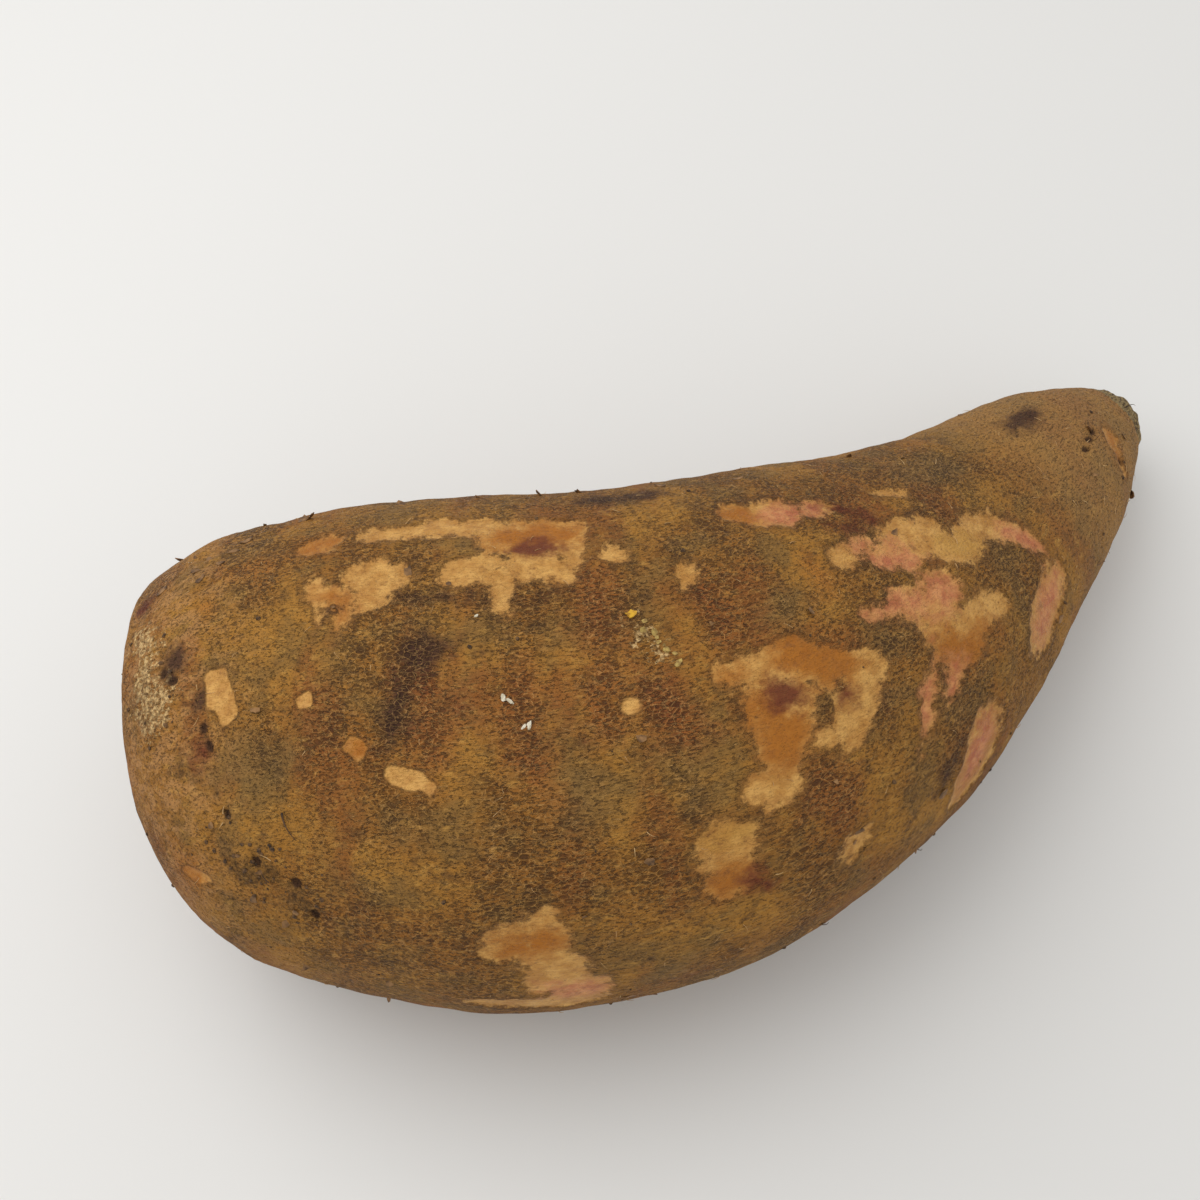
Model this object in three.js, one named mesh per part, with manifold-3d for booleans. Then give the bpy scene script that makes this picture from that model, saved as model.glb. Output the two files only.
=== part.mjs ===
// A yacon root lying on its side: one grown piece, cut across its thick end and
// tapering to a short broken stub at its thin end.
// Millimetres, +Z up. The origin is on the resting surface, under the middle of the root's bounding box,
// and +X runs along the root from the cut end to the thin end.
import * as THREE from "three";
import { mergeVertices } from "three/addons/utils/BufferGeometryUtils.js";
import Module from "manifold-3d";

// Cross-sections from the cut end to the thin end. centre is the middle of the section and facing is the
// way it looks in plan, in degrees from +X. halfWidth reaches to each side of the centre, rise to the top
// of the root and drop to its underside.
const SECTIONS = [
  { centre: [-90.1, 20.6, 32], facing: -13, halfWidth: 24.7, rise: 22, drop: 22 },
  { centre: [-85.8, 17.7, 33], facing: -15, halfWidth: 29.6, rise: 25.8, drop: 25.8 },
  { centre: [-76.6, 12.7, 35], facing: -17, halfWidth: 35.4, rise: 31, drop: 32 },
  { centre: [-61, 6.7, 36.5], facing: -18, halfWidth: 39.6, rise: 34, drop: 36 },
  { centre: [-38.8, -1.6, 37.3], facing: -15, halfWidth: 42.4, rise: 36.5, drop: 38 },
  { centre: [-8.8, -5.8, 36], facing: 0, halfWidth: 40.6, rise: 35, drop: 36.6 },
  { centre: [23.3, 2, 30], facing: 17, halfWidth: 34.2, rise: 29, drop: 29 },
  { centre: [52.8, 15.1, 23], facing: 26, halfWidth: 23.9, rise: 20, drop: 20.5 },
  { centre: [75.8, 27.3, 17.5], facing: 28, halfWidth: 16.6, rise: 14.5, drop: 14.5 },
  { centre: [88.8, 33.8, 14.5], facing: 24, halfWidth: 9.9, rise: 9, drop: 9 },
  { centre: [95.7, 36.1, 13.5], facing: 18, halfWidth: 5, rise: 5, drop: 5 },
];
const SQUARENESS = 2.15; // 2 is an ellipse, more is boxier
const CUT_ROUNDING = 3; // radius of the softened rim of the cut end

const RINGS = 44; // sections along the root
const SIDES = 48; // corners of each section
const RIM_RINGS = 4; // extra sections that round the cut's rim

const sectionCurve = (pick) =>
  new THREE.CatmullRomCurve3(
    SECTIONS.map((s) => new THREE.Vector3(...pick(s))),
    false,
    "centripetal",
  );
const spine = sectionCurve((s) => s.centre);
const girth = sectionCurve((s) => [s.halfWidth, s.rise, s.drop]);
const facings = sectionCurve((s) => [s.facing, 0, 0]);

// A power of a sine or cosine that keeps its sign, for the rounded-square section.
const bulge = (value) => Math.sign(value) * Math.abs(value) ** (2 / SQUARENESS);

// One closed section, taken at share u of the spine and drawn in by inset all round.
function ring(u, inset = 0) {
  const middle = spine.getPoint(u);
  const size = girth.getPoint(u);
  const facing = THREE.MathUtils.degToRad(facings.getPoint(u).x);
  const pitch = spine.getTangent(u).z;
  const across = new THREE.Vector3(-Math.sin(facing), Math.cos(facing), 0);
  const along = new THREE.Vector3(Math.cos(facing), Math.sin(facing), pitch).normalize();
  const up = new THREE.Vector3().crossVectors(along, across);
  return Array.from({ length: SIDES }, (_, side) => {
    const angle = (side / SIDES) * 2 * Math.PI;
    const height = Math.sin(angle) > 0 ? size.y : size.z;
    return middle
      .clone()
      .addScaledVector(across, (size.x - inset) * bulge(Math.cos(angle)))
      .addScaledVector(up, (height - inset) * bulge(Math.sin(angle)));
  });
}

// The shares of the spine where sections are taken, with the close ones that round the cut's rim.
function ringPlaces() {
  const rim = CUT_ROUNDING / spine.getLength();
  const places = [];
  for (let i = 0; i <= RIM_RINGS; i++) {
    const turn = (i / RIM_RINGS) * (Math.PI / 2);
    places.push({ u: rim * (1 - Math.cos(turn)), inset: CUT_ROUNDING * (1 - Math.sin(turn)) });
  }
  for (let i = 1; i <= RINGS; i++) places.push({ u: rim + ((1 - rim) * i) / RINGS, inset: 0 });
  return places;
}

// A closed skin through rings of equal length, with a flat cap at each end.
function loft(rings) {
  const middleOf = (points) =>
    points.reduce((sum, p) => sum.add(p), new THREE.Vector3()).divideScalar(points.length);
  const corners = rings.flat().concat(middleOf(rings[0]), middleOf(rings.at(-1)));
  const cutMiddle = rings.length * SIDES;
  const faces = [];
  for (let side = 0; side < SIDES; side++) {
    const next = (side + 1) % SIDES;
    for (let r = 0; r + 1 < rings.length; r++) {
      const [a, b] = [r * SIDES + side, r * SIDES + next];
      faces.push(a, b, a + SIDES, b, b + SIDES, a + SIDES);
    }
    const last = (rings.length - 1) * SIDES;
    faces.push(cutMiddle, next, side, cutMiddle + 1, last + side, last + next);
  }
  return new THREE.BufferGeometry().setFromPoints(corners).setIndex(faces);
}

const wasm = await Module();
wasm.setup();

function solidOf(geometry) {
  const bare = geometry.clone();
  bare.deleteAttribute("normal");
  bare.deleteAttribute("uv");
  const welded = mergeVertices(bare, 1e-4);
  return new wasm.Manifold(
    new wasm.Mesh({
      numProp: 3,
      vertProperties: new Float32Array(welded.attributes.position.array),
      triVerts: new Uint32Array(welded.index.array),
    }),
  );
}

function geometryOf(solid) {
  const mesh = solid.getMesh();
  return new THREE.BufferGeometry()
    .setAttribute("position", new THREE.BufferAttribute(new Float32Array(mesh.vertProperties), 3))
    .setIndex(new THREE.BufferAttribute(new Uint32Array(mesh.triVerts), 1));
}

// The surface that the root rests on, as the solid below Z 0.
function ground() {
  const reach = 400;
  return new THREE.BoxGeometry(reach, reach, reach).translate(0, 0, -reach / 2);
}

function rootGeometry() {
  const grown = loft(ringPlaces().map(({ u, inset }) => ring(u, inset)));
  const rested = geometryOf(solidOf(grown).subtract(solidOf(ground())));
  rested.computeBoundingBox();
  const middle = rested.boundingBox.getCenter(new THREE.Vector3());
  return rested.translate(-middle.x, -middle.y, -rested.boundingBox.min.z);
}

const skin = new THREE.MeshStandardMaterial({ color: 0x77532f, roughness: 0.75, metalness: 0 });
const root = new THREE.Mesh(rootGeometry(), skin);
root.name = "yacon_root";

const model = new THREE.Group();
model.add(root);
export default model;
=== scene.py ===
# Looks of a yacon root lying on its side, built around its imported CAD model.
# One fine skin mesh takes the place of the CAD solid. It carries the root's lumps, the patches where its
# papery skin has rubbed off, its pits and crust, the cut face and the broken stub. Soil crumbs, flakes
# and hairs stick to it as small pieces of their own.
import math
import random

import bmesh
import bpy
import numpy as np
from mathutils import Matrix, Vector, noise


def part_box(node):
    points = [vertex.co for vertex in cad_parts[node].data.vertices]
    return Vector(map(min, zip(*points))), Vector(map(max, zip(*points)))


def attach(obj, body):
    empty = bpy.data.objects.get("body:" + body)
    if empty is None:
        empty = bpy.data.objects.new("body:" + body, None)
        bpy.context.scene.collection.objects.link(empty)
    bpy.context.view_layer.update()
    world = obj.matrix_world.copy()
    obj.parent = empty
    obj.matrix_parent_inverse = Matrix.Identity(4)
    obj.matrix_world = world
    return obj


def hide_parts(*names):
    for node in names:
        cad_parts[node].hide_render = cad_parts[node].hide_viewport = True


MM = 0.001
NODE = "yacon_root"
BODY = "root"

# Skin mesh, in mm
CELL = 0.79
SMOOTHING_STEPS = 40
MIDLINE_SLICES = 60
CUT_MARGIN = 16  # slices for the midline start this far from the cut end
TIP_MARGIN = 3
GROUND_CLEARANCE = 0.02

# Marks on the skin. Each is an ellipse: its place in mm along the root from the cut end and in degrees
# round it from the top, towards the front, then half its length and half its width in mm, and how many
# degrees its length turns from the root's direction towards the front.
CHIPS = [
    (17.4, -0.5, 3.4, 2.0, 84), (18.6, 3.0, 3.4, 2.1, 66), (48, 25, 2.7, 1.5, 14), (51, 26, 1.6, 0.9, 40),
    (41, 18, 1.8, 1.4, 42), (13, 54, 2.6, 1.3, -7), (78, 14, 1.5, 1.1, -49), (33, 5, 1.4, 1.2, -13),
]
BARE = [
    # small worn spots
    (81, -29, 1.6, 1.6, 10), (90, -17, 1.9, 1.1, 109), (101, 63, 2.6, 1.7, -34),
    # long streak on the far side, with a block and a point hanging from it
    (33, -41, 4.0, 1.7, -6), (45, -42, 4.5, 1.5, 3), (53, -42, 4.6, 2.0, -2), (61, -41, 4.0, 1.6, 0),
    (59, -26, 4.3, 2.6, -14),
    (69, -36, 8.4, 4.0, 0), (68, -26, 4.8, 3.0, 16), (63, -19, 4.0, 1.2, 96), (75, -29, 5.0, 1.0, 106),
    # cloud with a hooked tail, nearer the cut
    (44, -27, 5.4, 3.0, 6), (43, -21, 1.9, 2.0, -21), (37, -23, 3.2, 1.5, 24), (38, -15, 2.9, 0.8, -54),
    (34, -27, 1.1, 0.7, 39), (34, -19, 2.1, 0.5, 75),
    # wedge low on the front
    (61, 63, 5.1, 3.4, -16), (64, 61, 4.4, 1.9, 91), (65, 70, 4.6, 3.2, 60), (66, 78, 5.0, 3.0, 36),
    (62, 87, 8.6, 2.1, 14), (67, 83, 4.0, 2.6, 20),
    # pink-tipped patch and its neighbour along the far shoulder
    (104, -35, 2.3, 2.1, 5), (110, -32, 5.4, 3.3, -4), (118, -29, 3.2, 1.6, 15), (125, -4, 5.2, 2.9, 9),
    (132, -9, 5.6, 2.6, 25), (136, 4, 5.4, 2.8, 30), (141, 2, 4.0, 2.4, 10), (145, 4, 4.2, 2.4, 30),
    (150, 16, 4.8, 1.5, 51),
    (115, -10, 2.0, 2.2, 9), (120, -12, 1.4, 0.5, -7), (133, -30, 5.6, 0.5, 22),
    # salmon cloud with two drips
    (116, 10, 3.0, 1.1, 14), (122, 14, 4.7, 3.0, 21), (127, 14, 2.8, 2.6, 27), (125, 29, 5.2, 4.0, 37),
    (130, 28, 3.6, 2.6, 10), (135, 31, 3.6, 2.0, 23), (116, 41, 4.4, 0.8, 121), (121, 41, 2.6, 0.8, 133),
    # two long scars down the front near the thin end
    (147, 50, 9.6, 3.8, -20), (123, 68, 8.0, 4.4, -57),
    # branching orange patch in the middle
    (93, 12, 3.6, 2.1, -8), (94, 20, 3.0, 2.2, 72), (101, 15, 5.6, 3.2, 25), (108, 23, 3.6, 3.2, 55),
    (105, 31, 3.2, 2.8, 60), (102, 35, 2.2, 1.8, 41), (95, 29, 5.0, 3.4, 105), (92, 40, 3.0, 2.7, 24),
    (98, 22, 2.6, 2.4, 50),
    # worn spot below it, and the scar behind the stub
    (86, 48, 3.2, 2.6, 10), (85, 53, 2.8, 2.8, 0), (85, 57, 2.4, 2.4, 25), (188, 24, 4.4, 1.2, 120),
]
ORANGE = [
    (69, -36, 8.0, 3.6, -5), (37, -22, 3.4, 1.8, 24), (38, -15, 2.9, 1.2, -54), (62, 63, 4.4, 3.2, -17),
    (104, -34, 4.0, 3.0, 6), (103, 15, 7.0, 4.8, 40), (91, 13, 2.0, 2.2, -9), (93, 22, 3.0, 3.0, 53),
    (95, 30, 4.6, 4.0, 105), (85, 57, 3.4, 3.2, 21), (85, 46, 2.0, 1.5, 3), (125, 34, 6.3, 3.4, 30),
    (13, 54, 2.4, 1.5, -7), (41, 18, 2.4, 2.0, 42), (67, 31, 1.4, 1.2, 90), (15, -29, 1.3, 1.1, 39),
    (123, 68, 6.7, 3.0, -54), (188, 24, 4.6, 1.6, 120), (12, 56, 1.6, 3.0, -36), (132, 36, 3.0, 2.0, 23),
    (22, -38, 5.0, 2.6, 0), (66, 30, 2.4, 1.5, 90), (33, -41, 4.6, 2.2, -6), (110, -8, 4.0, 2.0, 80),
]
PINK = [
    (114, -30, 6.4, 2.8, 3), (123, -3, 4.8, 3.2, 8), (150, 19, 5.2, 2.1, 51), (119, 11, 6.5, 2.4, 16),
    (116, 40, 5.0, 1.4, 121), (121, 41, 3.2, 1.4, 133), (147, 51, 7.7, 2.6, -20), (123, 66, 5.3, 2.2, -52),
    (114, 69, 1.0, 1.0, 4), (67, 82, 4.6, 2.4, 20), (127, 14, 3.3, 2.6, 27),
    (120, -12, 1.6, 0.9, -7),
]
YELLOW = [
    (81, -9, 1.0, 0.6, 1), (138, 4, 6.4, 2.7, 30), (86, 47, 3.6, 2.2, 10), (82, 0, 2.8, 0.7, 68),
    (166, 35, 3.1, 1.7, 116),
]
DARK = [
    # purple-brown smudges in the middle of the cut half
    (51, -4, 3.6, 2.8, -39), (47, 10, 4.6, 2.0, -77), (86, -50, 8.0, 2.0, 3),
    # islands of skin, and painted shade along the edges of patches
    (36, -18, 1.6, 1.2, -60), (57, -18, 8.0, 0.5, 6), (133, -13, 1.7, 0.9, 21), (134, -3, 2.2, 1.2, 13),
    (127, 26, 1.3, 0.7, 17), (117, 62, 4.2, 1.2, -50), (176, -34, 5.0, 2.4, 3), (109, -38, 9.0, 0.9, 6),
    (10, -14, 2.0, 1.1, 52), (15, 0, 1.1, 0.5, -47), ]
NETTED = [
    # cross bands where the net is dense
    (76, -12, 7.5, 2.6, 92), (75, 11, 6.5, 2.4, 95), (82, 18, 6.0, 3.0, 62), (64, 14, 8.0, 3.0, 88),
    (52, 12, 8.0, 2.6, 92), (99, 48, 6.0, 3.0, 80), (92, -4, 7.0, 2.4, 85),
]
RUST = [
    (97, 21, 2.6, 2.2, 41), (89, 60, 2.0, 1.0, 62), (123, -26, 4.4, 0.8, 30), (3, -49, 1.4, 0.9, 40),
    (15, 17, 1.6, 0.8, 67), (69, -32, 3.7, 1.4, -3), (105, 27, 0.8, 0.7, 111), (120, -20, 2.0, 0.5, 20),
]
CRUST = [
    (4, -30, 4.6, 2.6, 40), (5, -12, 4.6, 2.6, 85), (7, 2, 4.2, 3.0, 85), (9, -3, 2.4, 1.3, 75),
    (82, -1, 3.6, 1.2, 70), (3, 30, 5.0, 1.0, 90),
]
OLIVE = [
    (24, 20, 8.7, 4.5, -11), (70, 32, 5.6, 4.0, 72), (84, 36, 3.6, 3.2, 71), (101, 0, 3.6, 2.4, -10),
    (78, 80, 4.9, 2.6, -45), (58, -34, 5.7, 1.2, 8), (148, -33, 10.0, 5.0, 14),
    (111, 33, 3.7, 1.8, 19), (114, 18, 4.0, 1.8, 42), (121, 48, 5.7, 2.4, 35),
]
SOIL = [
    (18, 42, 3.8, 1.6, 38), (31, 54, 3.7, 2.0, 59), (22, 50, 2.9, 2.2, 7), (26, 47, 2.6, 1.4, 40),
]
PITS = [
    (8, -11, 0.7, 0.5, 90), (10, -8, 0.8, 0.6, 20), (19, 34, 0.8, 0.6, 60), (24, 45, 0.9, 0.7, 80),
    (31, 50, 0.9, 0.7, 30), (33, 58, 0.9, 0.6, 60), (15, 9, 0.7, 0.5, 90), (16, 15, 0.8, 0.5, 60),
    (183, 3, 0.8, 0.4, 20), (186, 1, 0.6, 0.4, 0), (180, 6, 0.7, 0.4, 30), (187, 36, 0.8, 0.5, 60),
]

# The far side and the underside carry marks of the same kinds, strewn by chance.
STRAY_SEED = 11
STRAY_BARE = 17
STRAY_DARK = 12


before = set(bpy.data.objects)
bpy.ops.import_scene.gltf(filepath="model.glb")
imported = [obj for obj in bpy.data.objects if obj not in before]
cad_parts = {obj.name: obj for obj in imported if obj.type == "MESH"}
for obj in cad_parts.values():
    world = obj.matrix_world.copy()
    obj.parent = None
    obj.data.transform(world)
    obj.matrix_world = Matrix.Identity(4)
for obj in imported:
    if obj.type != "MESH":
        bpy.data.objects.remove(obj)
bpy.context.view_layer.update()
root_low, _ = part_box(NODE)


def cad_mesh():
    """The CAD root's corners, in mm, and its triangles."""
    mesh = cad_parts[NODE].data
    corners = np.array([v.co for v in mesh.vertices]) / MM
    mesh.calc_loop_triangles()
    triangles = np.array([t.vertices for t in mesh.loop_triangles])
    return corners, triangles


class Midline:
    """The curve through the middle of the root, and each point's place relative to it."""

    STEPS = 400
    CURVE_DEGREE = 5

    def __init__(self, corners, triangles):
        edges = np.vstack([triangles[:, [0, 1]], triangles[:, [1, 2]], triangles[:, [2, 0]]])
        start, end = corners[edges[:, 0]], corners[edges[:, 1]]
        low, high = corners[:, 0].min(), corners[:, 0].max()
        places = np.linspace(low + CUT_MARGIN, high - TIP_MARGIN, MIDLINE_SLICES)
        middles = np.array([self.slice_middle(start, end, x) for x in places])
        x = np.linspace(low, high, self.STEPS)
        inside = np.clip(x, places[0], places[-1])
        self.points = np.column_stack([x] + [self.carried_on(places, m, x, inside) for m in middles.T])
        self.along = np.gradient(self.points, axis=0)
        self.along /= np.linalg.norm(self.along, axis=1, keepdims=True)
        steps = np.linalg.norm(np.diff(self.points, axis=0), axis=1)
        self.length = np.concatenate([[0.0], np.cumsum(steps)])
        flat = np.column_stack([self.along[:, 1], -self.along[:, 0], np.zeros(self.STEPS)])
        self.front = flat / np.linalg.norm(flat, axis=1, keepdims=True)
        self.top = np.cross(self.front, self.along)

    @staticmethod
    def slice_middle(start, end, x):
        """Middle, in y and z, of the root's slice at x."""
        crosses = (start[:, 0] - x) * (end[:, 0] - x) < 0
        a, b = start[crosses], end[crosses]
        share = ((x - a[:, 0]) / (b[:, 0] - a[:, 0]))[:, None]
        points = a + share * (b - a)
        return (points[:, 1:].min(0) + points[:, 1:].max(0)) / 2

    def carried_on(self, places, values, x, inside):
        """A smooth curve through values at places, carried on straight beyond its ends."""
        curve = np.polyfit(places, values, self.CURVE_DEGREE)
        slope = np.polyval(np.polyder(curve), inside)
        return np.polyval(curve, inside) + slope * (x - inside)

    def straighten(self, points):
        """Points as they would lie if the root were straight: mm along it, to the front and up."""
        nearest = np.empty(len(points), int)
        for k in range(0, len(points), 4000):
            gap = points[k:k + 4000, None, :] - self.points[None]
            nearest[k:k + 4000] = (gap ** 2).sum(2).argmin(1)
        offset = points - self.points[nearest]
        along = self.length[nearest] + (offset * self.along[nearest]).sum(1)
        front = (offset * self.front[nearest]).sum(1)
        top = (offset * self.top[nearest]).sum(1)
        return np.column_stack([along, front, top])


def perlin(places, size, shift=0.0):
    """Smooth noise, about -1 to 1, with lumps of that size in mm (one number, or x, y and z)."""
    scaled = places / np.asarray(size, float) + shift
    return np.array([noise.noise(p) for p in scaled.tolist()])


def ease(value, low, high):
    """0 below low, 1 above high and a smooth rise between them."""
    share = np.clip((value - low) / (high - low), 0, 1)
    return share * share * (3 - 2 * share)


def direction_round(angle):
    """Unit steps round the root and outwards from it, at an angle in radians from the top."""
    return np.array([0, math.cos(angle), -math.sin(angle)]), np.array([0, math.sin(angle), math.cos(angle)])


def inside_marks(straight, marks, join=0.9, boxiness=2.0):
    """How far in mm each point is inside the marks, below 0 outside them. Close marks grow together.
    A boxiness of 2 makes the marks ellipses, and more makes them squarer."""
    depth = np.full(len(straight), -20.0)
    angles = np.arctan2(straight[:, 1], straight[:, 2])
    for along, around, half_length, half_width, turn in marks:
        angle, spin = math.radians(around), math.radians(turn)
        side, out = direction_round(angle)
        apart = np.abs((angles - angle + math.pi) % (2 * math.pi) - math.pi)
        centre_gap = np.hypot(straight[:, 0] - along, apart * 20)
        centre = straight[centre_gap.argmin()]
        offset = straight - centre
        u = offset[:, 0] * math.cos(spin) + offset @ side * math.sin(spin)
        v = offset @ side * math.cos(spin) - offset[:, 0] * math.sin(spin)
        w = offset @ out
        long_share, wide_share = u / half_length, np.hypot(v, w * 0.7) / half_width
        ratio = (np.abs(long_share) ** boxiness + wide_share ** boxiness) ** (1 / boxiness) + 1e-6
        slope = np.hypot(long_share / half_length, wide_share / half_width) + 1e-6
        own = np.minimum((1 - ratio) * ratio / slope, min(half_length, half_width))
        depth = join * np.logaddexp(depth / join, np.maximum(own, -20) / join)
    return depth


def stray_marks(count, seed, sizes):
    """Marks strewn over the back and the underside."""
    chance = random.Random(seed)
    low, high = sizes
    marks = []
    for _ in range(count):
        half_length = chance.uniform(low, high)
        marks.append((
            chance.uniform(12, 172),
            chance.uniform(112, 282),
            half_length,
            half_length * chance.uniform(0.35, 0.8),
            chance.uniform(-40, 60),
        ))
        if chance.random() < 0.6:
            along, around, length, width, turn = marks[-1]
            beside = around + chance.uniform(-9, 9)
            marks.append((along + length * 0.9, beside, length * 0.6, width, turn + 60))
    return marks


midline = Midline(*cad_mesh())


def remeshed_root():
    """The CAD root as an even, fine mesh with its facets smoothed away."""
    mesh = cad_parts[NODE].data.copy()
    skin = bpy.data.objects.new("yacon_skin", mesh)
    bpy.context.scene.collection.objects.link(skin)
    remesh = skin.modifiers.new("even cells", "REMESH")
    remesh.mode = "VOXEL"
    remesh.voxel_size = CELL * MM
    smooth = skin.modifiers.new("no facets", "SMOOTH")
    smooth.factor = 0.5
    smooth.iterations = SMOOTHING_STEPS
    evaluated = skin.evaluated_get(bpy.context.evaluated_depsgraph_get())
    fine = bpy.data.meshes.new_from_object(evaluated)
    skin.modifiers.clear()
    skin.data = fine
    bpy.data.meshes.remove(mesh)
    fine.name = "yacon_skin"
    return skin


def mesh_arrays(mesh):
    """A mesh's corners, in mm, and their normals."""
    corners = np.empty(len(mesh.vertices) * 3)
    mesh.vertices.foreach_get("co", corners)
    normals = np.empty(len(mesh.vertices) * 3, np.float32)
    mesh.vertex_normals.foreach_get("vector", normals)
    return corners.reshape(-1, 3) / MM, normals.reshape(-1, 3).astype(float)


def store(mesh, name, values):
    """Keeps one number, or one vector, for each corner under a name that materials can read."""
    if values.ndim == 1:
        mesh.attributes.new(name, "FLOAT", "POINT").data.foreach_set("value", values.astype(np.float32))
    else:
        flat = values.astype(np.float32).ravel()
        mesh.attributes.new(name, "FLOAT_VECTOR", "POINT").data.foreach_set("vector", flat)


STUB_START = 201.5  # mm along the root, where the stub breaks off


def marked_skin():
    """The skin with its lumps, patches, pits and ends, and what its material reads at each corner."""
    skin = remeshed_root()
    corners, normals = mesh_arrays(skin.data)
    straight = midline.straighten(corners)
    along = straight[:, 0]
    rough = perlin(straight, 4.2, 7.1) * 1.1 + perlin(straight, 1.9, 3.3) * 0.8

    # the flat cut: corners that face straight back
    backward = normals[(normals @ -midline.along[0] > 0.93) & (along < 16)]
    cut_way = backward.mean(0) / np.linalg.norm(backward.mean(0))
    cut = ease(normals @ cut_way, 0.9, 0.975) * ease(along, 24, 16)
    stub = ease(along + rough * 0.5, STUB_START - 1.2, STUB_START + 0.6)
    on_skin = (1 - cut) * (1 - stub)

    bare = inside_marks(straight, BARE + stray_marks(STRAY_BARE, STRAY_SEED, (2.0, 6.5)))
    chips = inside_marks(straight, CHIPS, 0.2, 4.0) + 0.5 * perlin(straight, 1.8, 4.9)
    torn = ease(chips, -0.4, -1.6)
    bare = np.maximum(bare + 0.5 + rough, chips)
    bare = np.where(on_skin > 0.5, bare, -6)
    tints = {
        "orange": ORANGE + stray_marks(STRAY_BARE // 2, STRAY_SEED, (2.5, 6.5)),
        "pink": PINK + stray_marks(STRAY_BARE // 3, STRAY_SEED, (2.5, 6.5)),
        "yellow": YELLOW,
        "netted": NETTED,
        "dark": DARK + stray_marks(STRAY_DARK, STRAY_SEED + 1, (2.5, 8.0)),
        "rust": RUST,
        "crust": CRUST,
        "olive": OLIVE + stray_marks(STRAY_DARK // 2, STRAY_SEED + 2, (3.0, 8.0)),
        "soil": SOIL + stray_marks(STRAY_DARK // 2, STRAY_SEED + 3, (2.0, 4.5)),
    }
    fields = {name: inside_marks(straight, marks) + rough for name, marks in tints.items()}
    pits = inside_marks(straight, PITS)

    # heights, in mm, outwards
    lumps = 0.45 * perlin(straight, 38, 1.7) + 0.28 * perlin(straight, 15, 5.2)
    lumps += 0.12 * perlin(straight, 6, 9.4)
    ripples = 0.16 * perlin(straight, (4.6, 34, 34), 2.6)
    wrinkles = 1 - 2 * np.abs(perlin(straight, (6, 3.2, 3.2), 4.4))
    end_roughness = 0.26 * ease(along, 42, 16) * ease(along, 4, 16) * wrinkles
    grain = 0.08 * perlin(straight, (2.2, 1.4, 1.4), 8.8)
    sunk = -0.26 * ease(bare, -0.25, 0.55)
    lip = 0.10 * ease(bare, -1.1, -0.35) * ease(bare, -0.1, -0.4)
    crust = ease(fields["crust"], -0.6, 0.8) * (0.12 + 0.34 * np.abs(perlin(straight, 1.7, 6.1)))
    soil = ease(fields["soil"], -0.8, 0.9) * (0.04 + 0.5 * np.maximum(perlin(straight, 1.9, 2.2), 0))
    holes = -0.65 * ease(pits, -0.5, 0.4)
    height = (lumps + ripples + end_roughness + grain) * (1 - 0.6 * cut) + sunk + lip + crust + soil + holes
    height *= on_skin

    # the cut face is slightly dished, with fibres standing out of it
    face = straight[cut > 0.9][:, 1:]
    face_low, face_high = face.min(0), face.max(0)
    from_middle = (2 * straight[:, 1:] - face_low - face_high) / (face_high - face_low)
    face_radius = np.hypot(from_middle[:, 0], from_middle[:, 1])
    dish = -0.9 * np.maximum(1 - face_radius ** 2, 0)
    dish += 0.12 * perlin(corners, 1.6, 1.1) + 0.22 * perlin(corners, 7, 4.1)
    height += cut * dish
    # the stub is torn across its end and fluted round its sides
    height += stub * (0.45 * perlin(straight, (6, 1.3, 1.3), 3.9) + 0.5 * perlin(straight, 1.6, 7.7))

    moved = corners + normals * height[:, None]
    moved[:, 2] = np.maximum(moved[:, 2], root_low[2] / MM + GROUND_CLEARANCE)
    skin.data.vertices.foreach_set("co", (moved * MM).ravel())
    skin.data.update()

    store(skin.data, "straight", straight)
    store(skin.data, "bare", bare)
    store(skin.data, "torn", torn)
    for name, field in fields.items():
        store(skin.data, name, field)
    store(skin.data, "pits", pits)
    store(skin.data, "cut", cut)
    store(skin.data, "cut_radius", face_radius)
    store(skin.data, "cut_ray", np.column_stack([from_middle / (face_radius[:, None] + 1e-6), face_radius]))
    store(skin.data, "stub", stub)
    for polygon in skin.data.polygons:
        polygon.use_smooth = True
    return skin


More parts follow.
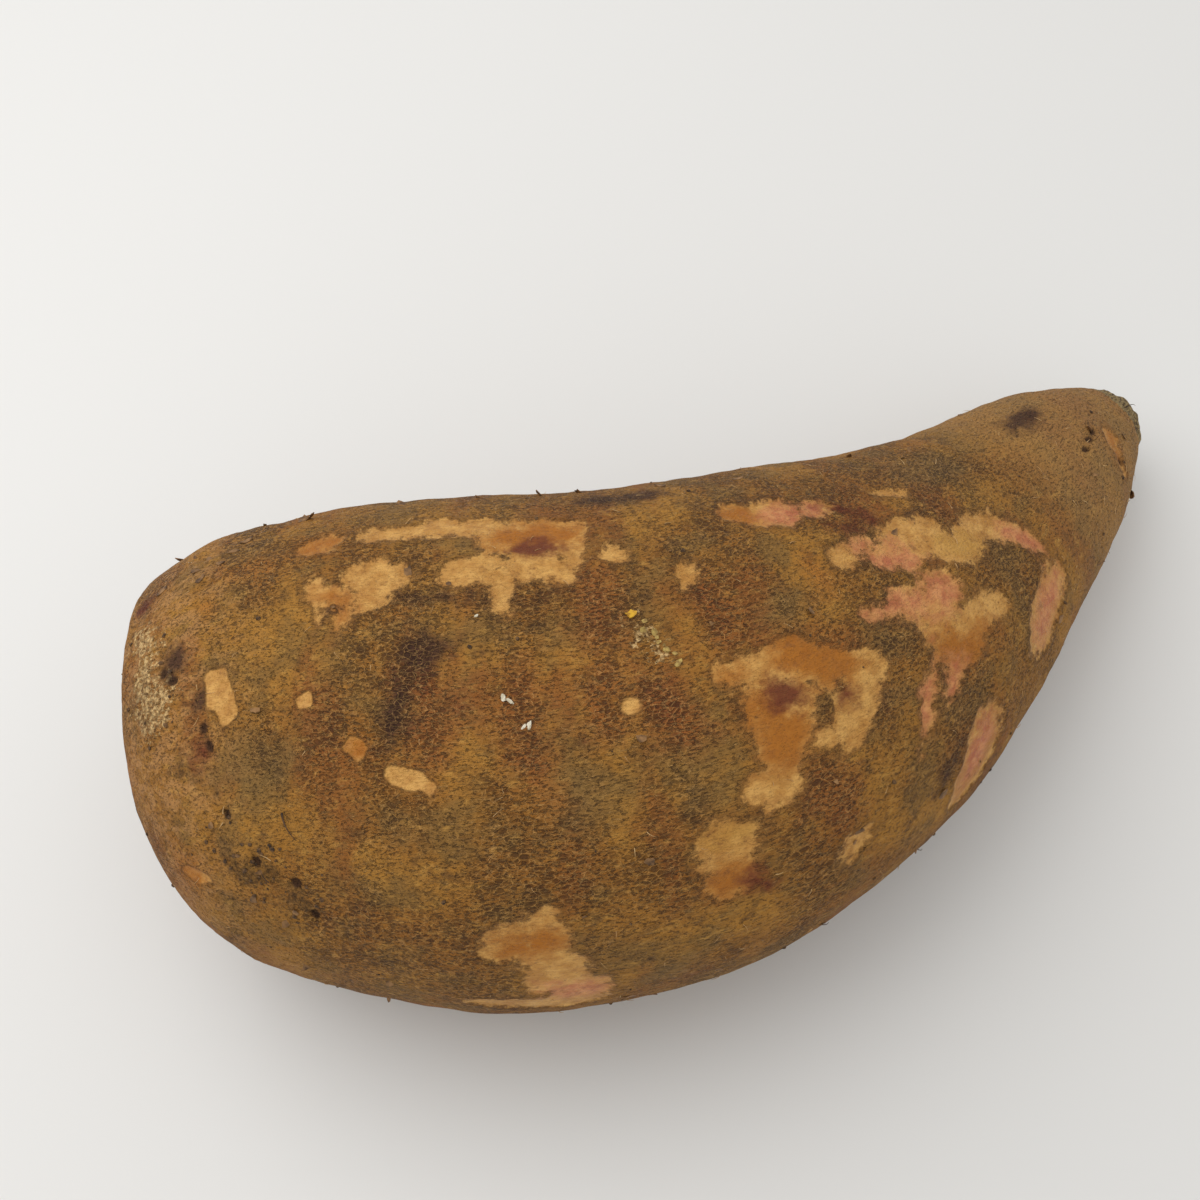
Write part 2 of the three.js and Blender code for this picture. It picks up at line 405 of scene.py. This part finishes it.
class Nodes:
    """Short names for the nodes that the materials are made of."""

    def __init__(self, name):
        self.material = bpy.data.materials.new(name)
        self.material.use_nodes = True
        self.tree = self.material.node_tree
        self.shader = self.tree.nodes["Principled BSDF"]
        self.straight = self.attribute("straight", "Vector")

    def new(self, kind, inputs, output=0, **settings):
        node = self.tree.nodes.new("ShaderNode" + kind)
        for name, value in settings.items():
            setattr(node, name, value)
        for name, value in inputs.items():
            self.join(value, node.inputs[name])
        return node.outputs[output]

    def join(self, value, socket):
        if isinstance(value, bpy.types.NodeSocket):
            self.tree.links.new(value, socket)
        else:
            socket.default_value = value

    def attribute(self, name, output="Fac"):
        return self.new("Attribute", {}, output, attribute_name=name)

    def math(self, operation, a, b=0.0):
        return self.new("Math", {0: a, 1: b}, operation=operation)

    def times(self, a, b):
        return self.math("MULTIPLY", a, b)

    def plus(self, a, b):
        return self.math("ADD", a, b)

    def ease(self, value, low, high, start=0.0, end=1.0):
        """start below low, end above high and a smooth change between them."""
        inputs = {"Value": value, "From Min": low, "From Max": high, "To Min": start, "To Max": end}
        return self.new("MapRange", inputs, interpolation_type="SMOOTHSTEP")

    def scaled(self, size, shift=0.0, places=None):
        """The straight root's coordinates, or other places, divided by a size, one number or three."""
        size = size if isinstance(size, tuple) else (size,) * 3
        scale = tuple(1 / s for s in size)
        inputs = {"Vector": places or self.straight, "Scale": scale, "Location": (shift,) * 3}
        return self.new("Mapping", inputs)

    def noise(self, size, detail=2.0, roughness=0.5, shift=0.0, distortion=0.0, places=None):
        """Noise from 0 to 1 with lumps of that size in mm."""
        inputs = {
            "Vector": self.scaled(size, shift, places),
            "Scale": 1.0,
            "Detail": detail,
            "Roughness": roughness,
            "Distortion": distortion,
        }
        return self.new("TexNoise", inputs)

    def cells(self, size, feature="F1", shift=0.0, warp=None):
        """Distance from the middle, or the edge, of scattered cells of that size in mm."""
        places = self.scaled(size, shift)
        if warp is not None:
            places = self.new("VectorMath", {0: places, 1: warp}, operation="ADD")
        return self.new("TexVoronoi", {"Vector": places, "Scale": 1.0}, "Distance", feature=feature)

    def mix(self, under, over, amount):
        node = self.tree.nodes.new("ShaderNodeMix")
        node.data_type = "RGBA"
        self.join(amount, node.inputs["Factor"])
        self.join(under, node.inputs["A"])
        self.join(over, node.inputs["B"])
        return node.outputs["Result"]

    def bump(self, height, distance):
        """A normal from a height, whose step from 0 to 1 is that many mm."""
        return self.new("Bump", {"Height": height, "Distance": distance * MM, "Strength": 1.0})


def colour(red, green, blue):
    """A colour given as 0 to 255 sRGB values, as the linear values that nodes take."""
    linear = []
    for value in (red, green, blue):
        share = value / 255
        linear.append(share / 12.92 if share <= 0.04045 else ((share + 0.055) / 1.055) ** 2.4)
    return (*linear, 1.0)


def add_grain(n):
    """Noises that several layers share, and the shares of the root near its two ends."""
    n.fine = n.plus(n.times(n.noise(0.9, 3), 1.3), n.times(n.noise(0.35, 2, shift=4.0), 0.7))
    n.ragged = n.plus(n.fine, -1.0)  # about -0.4 to 0.4
    n.cloudy = n.times(n.plus(n.noise(2.4, 3, 0.7, shift=25.0), -0.5), 6.0)  # about -2 to 2
    from_cut = n.new("SeparateXYZ", {"Vector": n.straight}, "X")
    n.thin_end = n.ease(from_cut, 150.0, 176.0)
    n.cut_end = n.ease(from_cut, 30.0, 5.0)


def add_net(n):
    """The skin's dark net and pores, its pale threads and its grit."""
    # where the net is dense: bands round the root, broken up
    bands = n.noise((9, 46, 46), 2, shift=3.0)
    n.clouds = n.noise(17, 3, shift=8.0)
    n.density = n.ease(n.plus(n.times(bands, 0.55), n.times(n.clouds, 0.45)), 0.36, 0.62)
    n.density = n.times(n.density, n.ease(n.thin_end, 0.0, 1.0, 1.0, 0.25))
    n.netted = n.ease(n.plus(n.attribute("netted"), n.times(n.cloudy, 1.2)), -3.5, 2.5)
    n.density = n.math("MAXIMUM", n.density, n.netted)
    dashes = n.noise((0.8, 0.44, 0.44), 2, 0.7, shift=1.0, distortion=0.3)
    net_cut = n.ease(n.density, 0.0, 1.0, -0.03, 0.05)
    specks = n.ease(n.plus(dashes, net_cut), 0.53, 0.68)
    warp = n.noise(1.1, 2, shift=41.0)
    mesh = n.cells((1.15, 0.72, 0.72), "DISTANCE_TO_EDGE", 2.0, warp)
    pores = n.times(n.ease(mesh, 0.06, 0.30), n.ease(n.noise(2.6, 2, shift=44.0), 0.44, 0.62))
    n.net = n.math("MAXIMUM", specks, n.times(pores, n.density))
    threads = n.noise((1.5, 0.26, 0.26), 3, 0.6, shift=6.0, distortion=0.8)
    seams = n.times(n.ease(mesh, 0.09, 0.02), n.times(n.density, 0.7))
    n.thread = n.math("MAXIMUM", n.ease(threads, 0.54, 0.72), seams)
    n.grit = n.ease(n.noise(0.36, 2, 0.6, shift=12.0), 0.54, 0.74)


def papery_skin(n):
    """Brown skin, paler at both ends, with its stains, painted shade along patch edges, net and threads."""
    skin = n.mix(colour(162, 113, 44), colour(142, 92, 34), n.ease(n.clouds, 0.35, 0.65))
    skin = n.mix(skin, colour(124, 92, 45), n.ease(n.noise(9, 3, 0.6, shift=20.0), 0.46, 0.64, 0.0, 0.75))
    skin = n.mix(skin, colour(130, 74, 30), n.ease(n.noise((9, 22, 22), 3, shift=30.0), 0.5, 0.68, 0.0, 0.7))
    pale = n.ease(n.noise((2.4, 1.2, 1.2), 3, 0.6, shift=14.0), 0.5, 0.8, 0.0, 0.7)
    skin = n.mix(skin, colour(190, 142, 68), pale)
    skin = n.mix(skin, colour(80, 52, 26), n.ease(n.noise(3.0, 3, 0.7, shift=17.0), 0.52, 0.74, 0.0, 0.65))
    skin = n.mix(skin, colour(162, 124, 76), n.times(n.thin_end, 0.5))
    worn = n.ease(n.noise((3.4, 2.2, 2.2), 3, 0.7, shift=52.0), 0.42, 0.62)
    skin = n.mix(skin, colour(186, 136, 84), n.times(n.times(n.cut_end, worn), 0.6))
    olive = n.ease(n.plus(n.attribute("olive"), n.cloudy), -2.6, 2.6, 0.0, 0.55)
    skin = n.mix(skin, colour(116, 91, 52), olive)
    n.orange = n.ease(n.plus(n.attribute("orange"), n.cloudy), -2.2, 2.4)
    skin = n.mix(skin, colour(172, 104, 38), n.times(n.orange, 0.45))
    skin = n.mix(skin, colour(136, 72, 32), n.times(n.netted, 0.6))
    # dark marks: purple-brown smudges and islands of skin, and painted shade along the edges of patches
    dark = n.ease(n.plus(n.attribute("dark"), n.times(n.cloudy, 0.8)), -2.2, 1.4, 0.0, 0.92)
    skin = n.mix(skin, colour(62, 36, 26), dark)
    skin = n.mix(skin, colour(52, 30, 16), n.times(n.net, n.ease(n.density, 0.0, 1.0, 0.42, 0.76)))
    skin = n.mix(skin, colour(200, 154, 92), n.times(n.thread, 0.5))
    skin = n.mix(skin, colour(58, 36, 20), n.times(n.grit, 0.6))
    return skin


def bare_flesh(n):
    """The cream flesh under the skin, with orange, yellow and pink stains."""
    mottling = n.ease(n.noise(2.6, 4, 0.6, shift=5.0), 0.3, 0.7)
    flesh = n.mix(colour(218, 167, 92), colour(182, 128, 60), mottling)
    fibres = n.ease(n.noise((2.4, 0.45, 0.45), 3, 0.6, shift=9.0), 0.42, 0.75, 0.0, 0.4)
    flesh = n.mix(flesh, colour(158, 106, 52), fibres)
    orange_flesh = n.mix(colour(182, 114, 30), colour(142, 78, 18), n.noise(1.8, 4, 0.7))
    flesh = n.mix(flesh, orange_flesh, n.times(n.orange, 0.95))
    yellow = n.ease(n.plus(n.attribute("yellow"), n.cloudy), -1.8, 1.6, 0.0, 0.7)
    flesh = n.mix(flesh, colour(190, 142, 66), yellow)
    pink = n.ease(n.plus(n.attribute("pink"), n.times(n.cloudy, 1.3)), -2.8, 2.2, 0.0, 0.9)
    pink_flesh = n.mix(colour(210, 142, 92), colour(180, 100, 70), n.ease(n.noise(1.9, 3, 0.6), 0.35, 0.65))
    flesh = n.mix(flesh, pink_flesh, pink)
    stained = n.ease(n.noise(1.7, 4, 0.7, shift=61.0), 0.54, 0.72, 0.0, 0.6)
    flesh = n.mix(flesh, colour(122, 76, 36), stained)
    flesh = n.mix(flesh, colour(110, 70, 36), n.times(n.grit, 0.36))
    return flesh


def with_patches(n, skin, flesh):
    """The skin, with the flesh where it has peeled off."""
    # the edges of patches are tattered and fade, those of chips are clean
    tatters = n.plus(n.times(n.plus(n.noise(1.6, 3, 0.7, shift=33.0), -0.5), 3.6), n.times(n.ragged, 1.2))
    torn = n.attribute("torn")
    edge = n.plus(n.attribute("bare"), n.times(tatters, n.ease(torn, 0.0, 1.0, 0.1, 1.0)))
    edge = n.times(edge, n.ease(torn, 0.0, 1.0, 3.0, 1.0))
    n.peeled = n.ease(edge, -0.8, 0.9)
    rim = n.times(n.ease(edge, -1.3, -0.3), n.ease(edge, 0.6, -0.2))
    # a film of skin is left on the flesh, thicker towards the edges of a patch
    film = n.ease(n.plus(n.times(edge, -0.5), n.times(n.cloudy, 0.8)), -1.6, 2.0, 0.0, 0.62)
    flesh = n.mix(flesh, colour(150, 98, 46), n.times(film, n.ease(torn, 0.0, 1.0, 0.2, 1.0)))
    surface = n.mix(skin, flesh, n.times(n.peeled, 0.96))
    surface = n.mix(surface, colour(84, 54, 28), n.times(rim, 0.35))
    return surface


def with_dirt(n, surface):
    """Rust-coloured spots, crust, soil and pits on the surface."""
    rust = n.ease(n.plus(n.attribute("rust"), n.times(n.cloudy, 0.7)), -1.8, 1.0, 0.0, 0.92)
    surface = n.mix(surface, colour(104, 48, 26), rust)
    crust_place = n.plus(n.attribute("crust"), n.times(n.plus(n.noise(1.1, 3, 0.75, shift=2.0), -0.55), 15.0))
    n.crust = n.ease(crust_place, -0.3, 0.7, 0.0, 0.8)
    crust_colour = n.mix(colour(224, 188, 130), colour(140, 106, 62), n.ease(n.noise(0.7, 2), 0.35, 0.65))
    surface = n.mix(surface, crust_colour, n.crust)
    soil_place = n.plus(n.attribute("soil"), n.times(n.plus(n.noise(1.1, 3, 0.7, shift=11.0), -0.5), 6.0))
    soil = n.ease(soil_place, -0.6, 1.4, 0.0, 0.66)
    soil_colour = n.mix(colour(122, 90, 46), colour(50, 34, 20), n.ease(n.noise(0.8, 3, 0.7), 0.35, 0.65))
    surface = n.mix(surface, soil_colour, soil)
    pits = n.ease(n.attribute("pits"), -0.35, 0.15, 0.0, 0.9)
    surface = n.mix(surface, colour(58, 36, 22), pits)
    return surface


def with_cut_face(n, surface):
    """The surface with the cut face at its thick end."""
    # cut face: dried brown flesh with faint rays, a darker ring and a thin dark rim
    share = n.plus(n.attribute("cut_radius"), n.times(n.ragged, 0.05))
    rays = n.noise((0.09, 0.09, 0.6), 3, 0.6, places=n.attribute("cut_ray", "Vector"))
    core = n.mix(colour(188, 146, 92), colour(150, 106, 58), n.ease(rays, 0.35, 0.65))
    core = n.mix(core, colour(122, 82, 44), n.ease(n.noise(5.0, 4, 0.65, shift=13.0), 0.45, 0.68, 0.0, 0.65))
    core = n.mix(core, colour(206, 168, 112), n.times(n.ease(n.cells(2.4, shift=4.0), 0.2, 0.12), 0.4))
    ring = n.times(n.ease(share, 0.7, 0.78), n.ease(share, 0.9, 0.82))
    core = n.mix(core, colour(146, 88, 40), n.times(ring, 0.7))
    core = n.mix(core, colour(84, 56, 34), n.ease(share, 0.92, 0.99))
    surface = n.mix(surface, core, n.ease(n.plus(n.attribute("cut"), n.times(n.ragged, 0.3)), 0.35, 0.6))
    return surface


def with_stub(n, surface):
    """The surface with the torn stub at its thin end."""
    # broken stub: grey-brown fibres
    stub_fibres = n.ease(n.noise((5, 0.5, 0.5), 3, shift=2.0), 0.4, 0.65)
    stub_colour = n.mix(colour(156, 132, 88), colour(88, 70, 46), stub_fibres)
    broken = n.ease(n.plus(n.attribute("stub"), n.times(n.ragged, 0.4)), 0.3, 0.7)
    surface = n.mix(surface, stub_colour, broken)
    return surface


def add_gloss_and_relief(n):
    """A duller skin than flesh, and the small steps of the net, threads, patches and crust."""
    gloss = n.ease(n.peeled, 0.0, 1.0, 0.74, 0.52)
    n.join(n.plus(gloss, n.times(n.plus(n.fine, -1.0), 0.2)), n.shader.inputs["Roughness"])
    n.shader.inputs["Specular IOR Level"].default_value = 0.22

    still = n.ease(n.peeled, 0.0, 1.0, 1.0, 0.25)
    relief = n.plus(n.times(n.thread, 0.6), n.times(n.net, -1.0))
    relief = n.plus(relief, n.times(n.fine, 0.7))
    steps = n.times(n.plus(n.crust, n.times(n.peeled, -1.0)), 0.27)
    n.join(n.bump(n.plus(n.times(relief, still), steps), 0.3), n.shader.inputs["Normal"])


def skin_material():
    """Papery brown skin with a fine dark net, peeled patches, stains, crust, cut face and stub."""
    n = Nodes("yacon_skin")
    add_grain(n)
    add_net(n)
    surface = with_patches(n, papery_skin(n), bare_flesh(n))
    surface = with_dirt(n, surface)
    surface = with_cut_face(n, surface)
    surface = with_stub(n, surface)
    n.join(surface, n.shader.inputs["Base Color"])
    add_gloss_and_relief(n)
    return n.material


def finish_piece(piece, material):
    """Gives a piece its material, and says which body it rides on."""
    piece.data.materials.clear()
    piece.data.materials.append(material)
    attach(piece, BODY)


def plain_material(name, light, dark, size, roughness=0.8):
    """Two mottled colours, for the small pieces, which have no straight coordinates of their own."""
    material = bpy.data.materials.new(name)
    material.use_nodes = True
    tree = material.node_tree
    shader = tree.nodes["Principled BSDF"]
    texture = tree.nodes.new("ShaderNodeTexNoise")
    texture.inputs["Scale"].default_value = 1 / (size * MM)
    place = tree.nodes.new("ShaderNodeTexCoord")
    ramp = tree.nodes.new("ShaderNodeValToRGB")
    ramp.color_ramp.elements[0].position, ramp.color_ramp.elements[1].position = 0.35, 0.65
    ramp.color_ramp.elements[0].color, ramp.color_ramp.elements[1].color = dark, light
    tree.links.new(place.outputs["Object"], texture.inputs["Vector"])
    tree.links.new(texture.outputs["Fac"], ramp.inputs["Fac"])
    tree.links.new(ramp.outputs["Color"], shader.inputs["Base Color"])
    shader.inputs["Roughness"].default_value = roughness
    return material


class Ground:
    """Finds the place on the skin at a mark's coordinates, for the pieces that stick to it."""

    def __init__(self, skin):
        self.corners, self.normals = mesh_arrays(skin.data)
        straight = midline.straighten(self.corners)
        self.along = straight[:, 0]
        self.angle = np.degrees(np.arctan2(straight[:, 1], straight[:, 2]))

    def spot(self, along, around):
        """The point of the skin, in mm, and the unit directions along, round and out of the root there."""
        apart = (self.angle - around + 180) % 360 - 180
        nearest = np.hypot(self.along - along, apart * 0.5).argmin()
        out = Vector(self.normals[nearest])
        side = out.cross(Vector((1, 0, 0))).normalized()
        return Vector(self.corners[nearest]), side.cross(out), side, out


def lump_mesh(chance, detail=2):
    """Corners and faces of a rough pebble of about unit radius."""
    ball = bmesh.new()
    bmesh.ops.create_icosphere(ball, subdivisions=detail, radius=1)
    shift = Vector((chance.uniform(0, 90), chance.uniform(0, 90), chance.uniform(0, 90)))
    corners = []
    for vertex in ball.verts:
        bulge = 0.6 * noise.noise(vertex.co * 1.1 + shift) + 0.35 * noise.noise(vertex.co * 2.6 + shift)
        corners.append(vertex.co * (1 + bulge))
    faces = [[v.index for v in face.verts] for face in ball.faces]
    ball.free()
    return corners, faces


def flake_mesh(chance, sides=9):
    """Corners and faces of a torn, curled plate of about unit radius and half height."""
    reach = [chance.uniform(0.5, 1.0) for _ in range(sides)]
    curl = chance.uniform(0.5, 3.0)
    corners, faces = [], []
    for level in (-1, 1):
        for k, far in enumerate(reach):
            x, y = far * math.cos(k * math.tau / sides), far * math.sin(k * math.tau / sides)
            corners.append(Vector((x, y, level * 0.5 + curl * x * x)))
        corners.append(Vector((0, 0, level)))
    top = sides + 1
    for k in range(sides):
        after = (k + 1) % sides
        faces.append([after, k, sides])
        faces.append([top + k, top + after, top + sides])
        faces.append([k, after, top + after, top + k])
    return corners, faces


def object_from(name, corners, faces):
    mesh = bpy.data.meshes.new(name)
    mesh.from_pydata([tuple(c * MM) for c in corners], [], faces)
    piece = bpy.data.objects.new(name, mesh)
    bpy.context.scene.collection.objects.link(piece)
    return piece


def scattered(name, places, size, shape, tilt, seed, make=lump_mesh):
    """Rough bits of one kind on the skin. size is their half length in mm, low and high; shape is their
    length, width and height over that; tilt is how far they may stand up from the skin, in degrees."""
    chance = random.Random(seed)
    all_corners, all_faces = [], []
    for along, around in places:
        point, forward, side, out = ground.spot(along, around)
        corners, faces = make(chance)
        turn = Matrix.Rotation(chance.uniform(0, math.tau), 3, out)
        lean = Matrix.Rotation(math.radians(chance.uniform(0, tilt)), 3, turn @ side)
        frame_at = turn @ Matrix((forward, side, out)).transposed()
        half = chance.uniform(*size)
        start = len(all_corners)
        for corner in corners:
            local = Vector(c * s * half for c, s in zip(corner, shape))
            all_corners.append(point + out * half * shape[2] * 0.3 + lean @ frame_at @ local)
        all_faces += [[start + i for i in face] for face in faces]
    return object_from(name, all_corners, all_faces)


def near(marks, count, seed, spread=1.0):
    """Places strewn over marks."""
    chance = random.Random(seed)
    places = []
    for along, around, half_length, _, _ in marks:
        for _ in range(count):
            reach = half_length * spread
            place = along + chance.uniform(-reach, reach)
            places.append((place, around + chance.uniform(-1, 1) * reach * 1.6))
    return places


def strewn(count, seed, low=4, high=196):
    """Places strewn over the whole root, except what it rests on."""
    chance = random.Random(seed)
    return [(chance.uniform(low, high), chance.uniform(-150, 150)) for _ in range(count)]


def hair(along, around, heading, length, lift, radius, chance, sides=5, steps=7):
    """Corners and faces of one tapering, slightly curled root hair."""
    point, forward, side, out = ground.spot(along, around)
    way = forward * math.cos(math.radians(heading)) + side * math.sin(math.radians(heading))
    bend = chance.uniform(-0.5, 0.5)
    across = way.cross(out)
    corners, faces = [], []
    for step in range(steps):
        share = step / (steps - 1)
        middle = point + way * length * share + across * bend * length * share * share
        middle += out * (lift * length * math.sin(share * 2.0) + 0.05)
        thick = radius * (1 - 0.75 * share)
        for k in range(sides):
            angle = k * math.tau / sides
            corners.append(middle + across * thick * math.cos(angle) + out * thick * math.sin(angle))
    for step in range(steps - 1):
        for k in range(sides):
            a, b = step * sides + k, step * sides + (k + 1) % sides
            faces.append([a, b, b + sides, a + sides])
    faces.append(list(range(sides))[::-1])
    faces.append([(steps - 1) * sides + k for k in range(sides)])
    return corners, faces


def hairs(name, rows, seed):
    """Hair roots: each has a place along and around, a heading, a length, a lift and a radius."""
    chance = random.Random(seed)
    all_corners, all_faces = [], []
    for along, around, heading, length, lift, radius in rows:
        corners, faces = hair(along, around, heading, length, lift, radius, chance)
        start = len(all_corners)
        all_corners += corners
        all_faces += [[start + i for i in face] for face in faces]
    return object_from(name, all_corners, all_faces)


def strewn_hairs(count, seed):
    """Short fine hairs that lie along the skin."""
    chance = random.Random(seed)
    rows = []
    for along, around in strewn(count, seed + 1):
        heading, length = chance.uniform(0, 360), chance.uniform(0.7, 1.8)
        rows.append((along, around, heading, length, chance.uniform(0.02, 0.25), chance.uniform(0.04, 0.08)))
    return rows


skin = marked_skin()
finish_piece(skin, skin_material())
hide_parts(NODE)
ground = Ground(skin)

crumb_places = near(SOIL, 11, 3, 1.4) + near(CRUST[:3], 4, 4) + strewn(90, 5)
crumbs = scattered("soil_crumbs", crumb_places, (0.14, 0.42), (1, 0.8, 0.6), 20, 6)
finish_piece(crumbs, plain_material("soil_crumbs", colour(108, 78, 46), colour(48, 33, 20), 0.5, 0.9))

FLAKES = [
    # torn bark by the cut and along the far edge
    (12, -46), (14, -50), (16, -44), (18, -48), (11, -54), (13, -40), (20, -52), (27, -57), (29, -58),
    (30, -57),
    (46, -60), (60, -60), (72, -60), (80, -60), (96, -56), (112, -52), (140, -56),
    # on the front and by its lower edge
    (98, 92), (99, 95), (113, 90), (84, 88), (168, 72), (150, 62), (25, 48), (21, 45), (30, 58),
]
flakes = scattered("bark_flakes", FLAKES + strewn(60, 8), (0.7, 1.7), (1, 0.62, 0.09), 50, 9, flake_mesh)
finish_piece(flakes, plain_material("bark_flakes", colour(150, 110, 66), colour(80, 56, 34), 1.2))

WHITE_FLECKS = [(62, 8), (63, 9), (64, 16), (65, 15), (59, -13)]
flecks = scattered("white_flecks", WHITE_FLECKS, (0.35, 0.7), (1, 0.5, 0.4), 25, 10)
finish_piece(flecks, plain_material("white_flecks", colour(236, 228, 208), colour(190, 178, 150), 0.6))

yellow_chip = scattered("yellow_chip", [(81, -9), (81, -8)], (0.9, 1.2), (1, 0.7, 0.2), 20, 12, flake_mesh)
finish_piece(yellow_chip, plain_material("yellow_chip", colour(222, 174, 44), colour(180, 132, 40), 0.7))

SCALES = [(82, -6), (82, -4), (83, -2), (83, 0), (84, 1), (84, 3), (85, 4), (85, 6), (83, -1), (84, 2)]
scales = scattered("pale_scales", SCALES, (0.5, 1.0), (1, 0.7, 0.14), 35, 13, flake_mesh)
finish_piece(scales, plain_material("pale_scales", colour(190, 162, 88), colour(130, 100, 52), 0.7))

DARK_HAIRS = [
    (29, 33, 262, 4.2, 0.10, 0.17), (26, 50, 110, 2.4, 0.2, 0.1), (203, -10, 20, 3.0, 0.4, 0.1),
    (202, 30, 330, 1.8, 0.4, 0.1), (98, 93, 30, 1.4, 0.4, 0.1), (113, 90, 300, 1.4, 0.4, 0.1),
]
dark_hairs = hairs("dark_hairs", DARK_HAIRS, 14)
finish_piece(dark_hairs, plain_material("dark_hairs", colour(86, 60, 38), colour(44, 30, 20), 2.0))

WHITE_HAIRS = [(18, 34, 80, 1.8, 0.2, 0.1), (27, 45, 110, 2.0, 0.2, 0.1)]
pale_hairs = hairs("pale_hairs", WHITE_HAIRS + strewn_hairs(260, 21), 15)
finish_piece(pale_hairs, plain_material("pale_hairs", colour(206, 170, 118), colour(170, 128, 78), 2.0))


# Stage: a pale floor, soft light from above and the left, and a camera that looks down at the root
CAMERA_AZIMUTH = -18
CAMERA_ELEVATION = 65
CAMERA_DISTANCE = 0.330
CAMERA_LENS = 55
CAMERA_TARGET = Vector((-0.0133, 0.0270, 0.020))
SENSOR = 36


def back_from(azimuth, elevation):
    """The direction from the root to a viewer at that azimuth and elevation, in degrees."""
    a, e = math.radians(azimuth), math.radians(elevation)
    return Vector((math.sin(a) * math.cos(e), -math.cos(a) * math.cos(e), math.sin(e)))


def look_at(thing, target):
    thing.rotation_euler = (target - thing.location).to_track_quat("-Z", "Y").to_euler()


def make_camera():
    data = bpy.data.cameras.new("camera")
    data.lens = CAMERA_LENS
    data.sensor_width = SENSOR
    data.clip_start = 0.01
    camera = bpy.data.objects.new("camera", data)
    bpy.context.scene.collection.objects.link(camera)
    camera.location = CAMERA_TARGET + back_from(CAMERA_AZIMUTH, CAMERA_ELEVATION) * CAMERA_DISTANCE
    look_at(camera, CAMERA_TARGET)
    bpy.context.scene.camera = camera


def make_light(name, azimuth, elevation, distance, size, power, tint=(1, 1, 1)):
    data = bpy.data.lights.new(name, "AREA")
    data.shape = "DISK"
    data.size = size
    data.energy = power
    data.color = tint
    light = bpy.data.objects.new(name, data)
    bpy.context.scene.collection.objects.link(light)
    light.location = back_from(azimuth, elevation) * distance
    look_at(light, Vector((0, 0, 0.02)))


def make_floor():
    """A wide, flat, pale floor."""
    bpy.ops.mesh.primitive_plane_add(size=6)
    floor = bpy.context.object
    floor.name = "floor"
    material = bpy.data.materials.new("floor")
    material.use_nodes = True
    shader = material.node_tree.nodes["Principled BSDF"]
    shader.inputs["Base Color"].default_value = (0.80, 0.79, 0.77, 1)
    shader.inputs["Roughness"].default_value = 0.55
    floor.data.materials.append(material)


def make_world(brightness):
    world = bpy.data.worlds.new("world")
    world.use_nodes = True
    background = world.node_tree.nodes["Background"]
    background.inputs["Color"].default_value = (1.0, 1.0, 0.99, 1)
    background.inputs["Strength"].default_value = brightness
    bpy.context.scene.world = world


make_camera()
make_floor()
make_world(0.70)
make_light("window", -128, 56, 0.55, 0.6, 1.15)
make_light("sky", 180, 82, 1.2, 1.0, 1.1)
bpy.context.scene.view_settings.view_transform = "Standard"
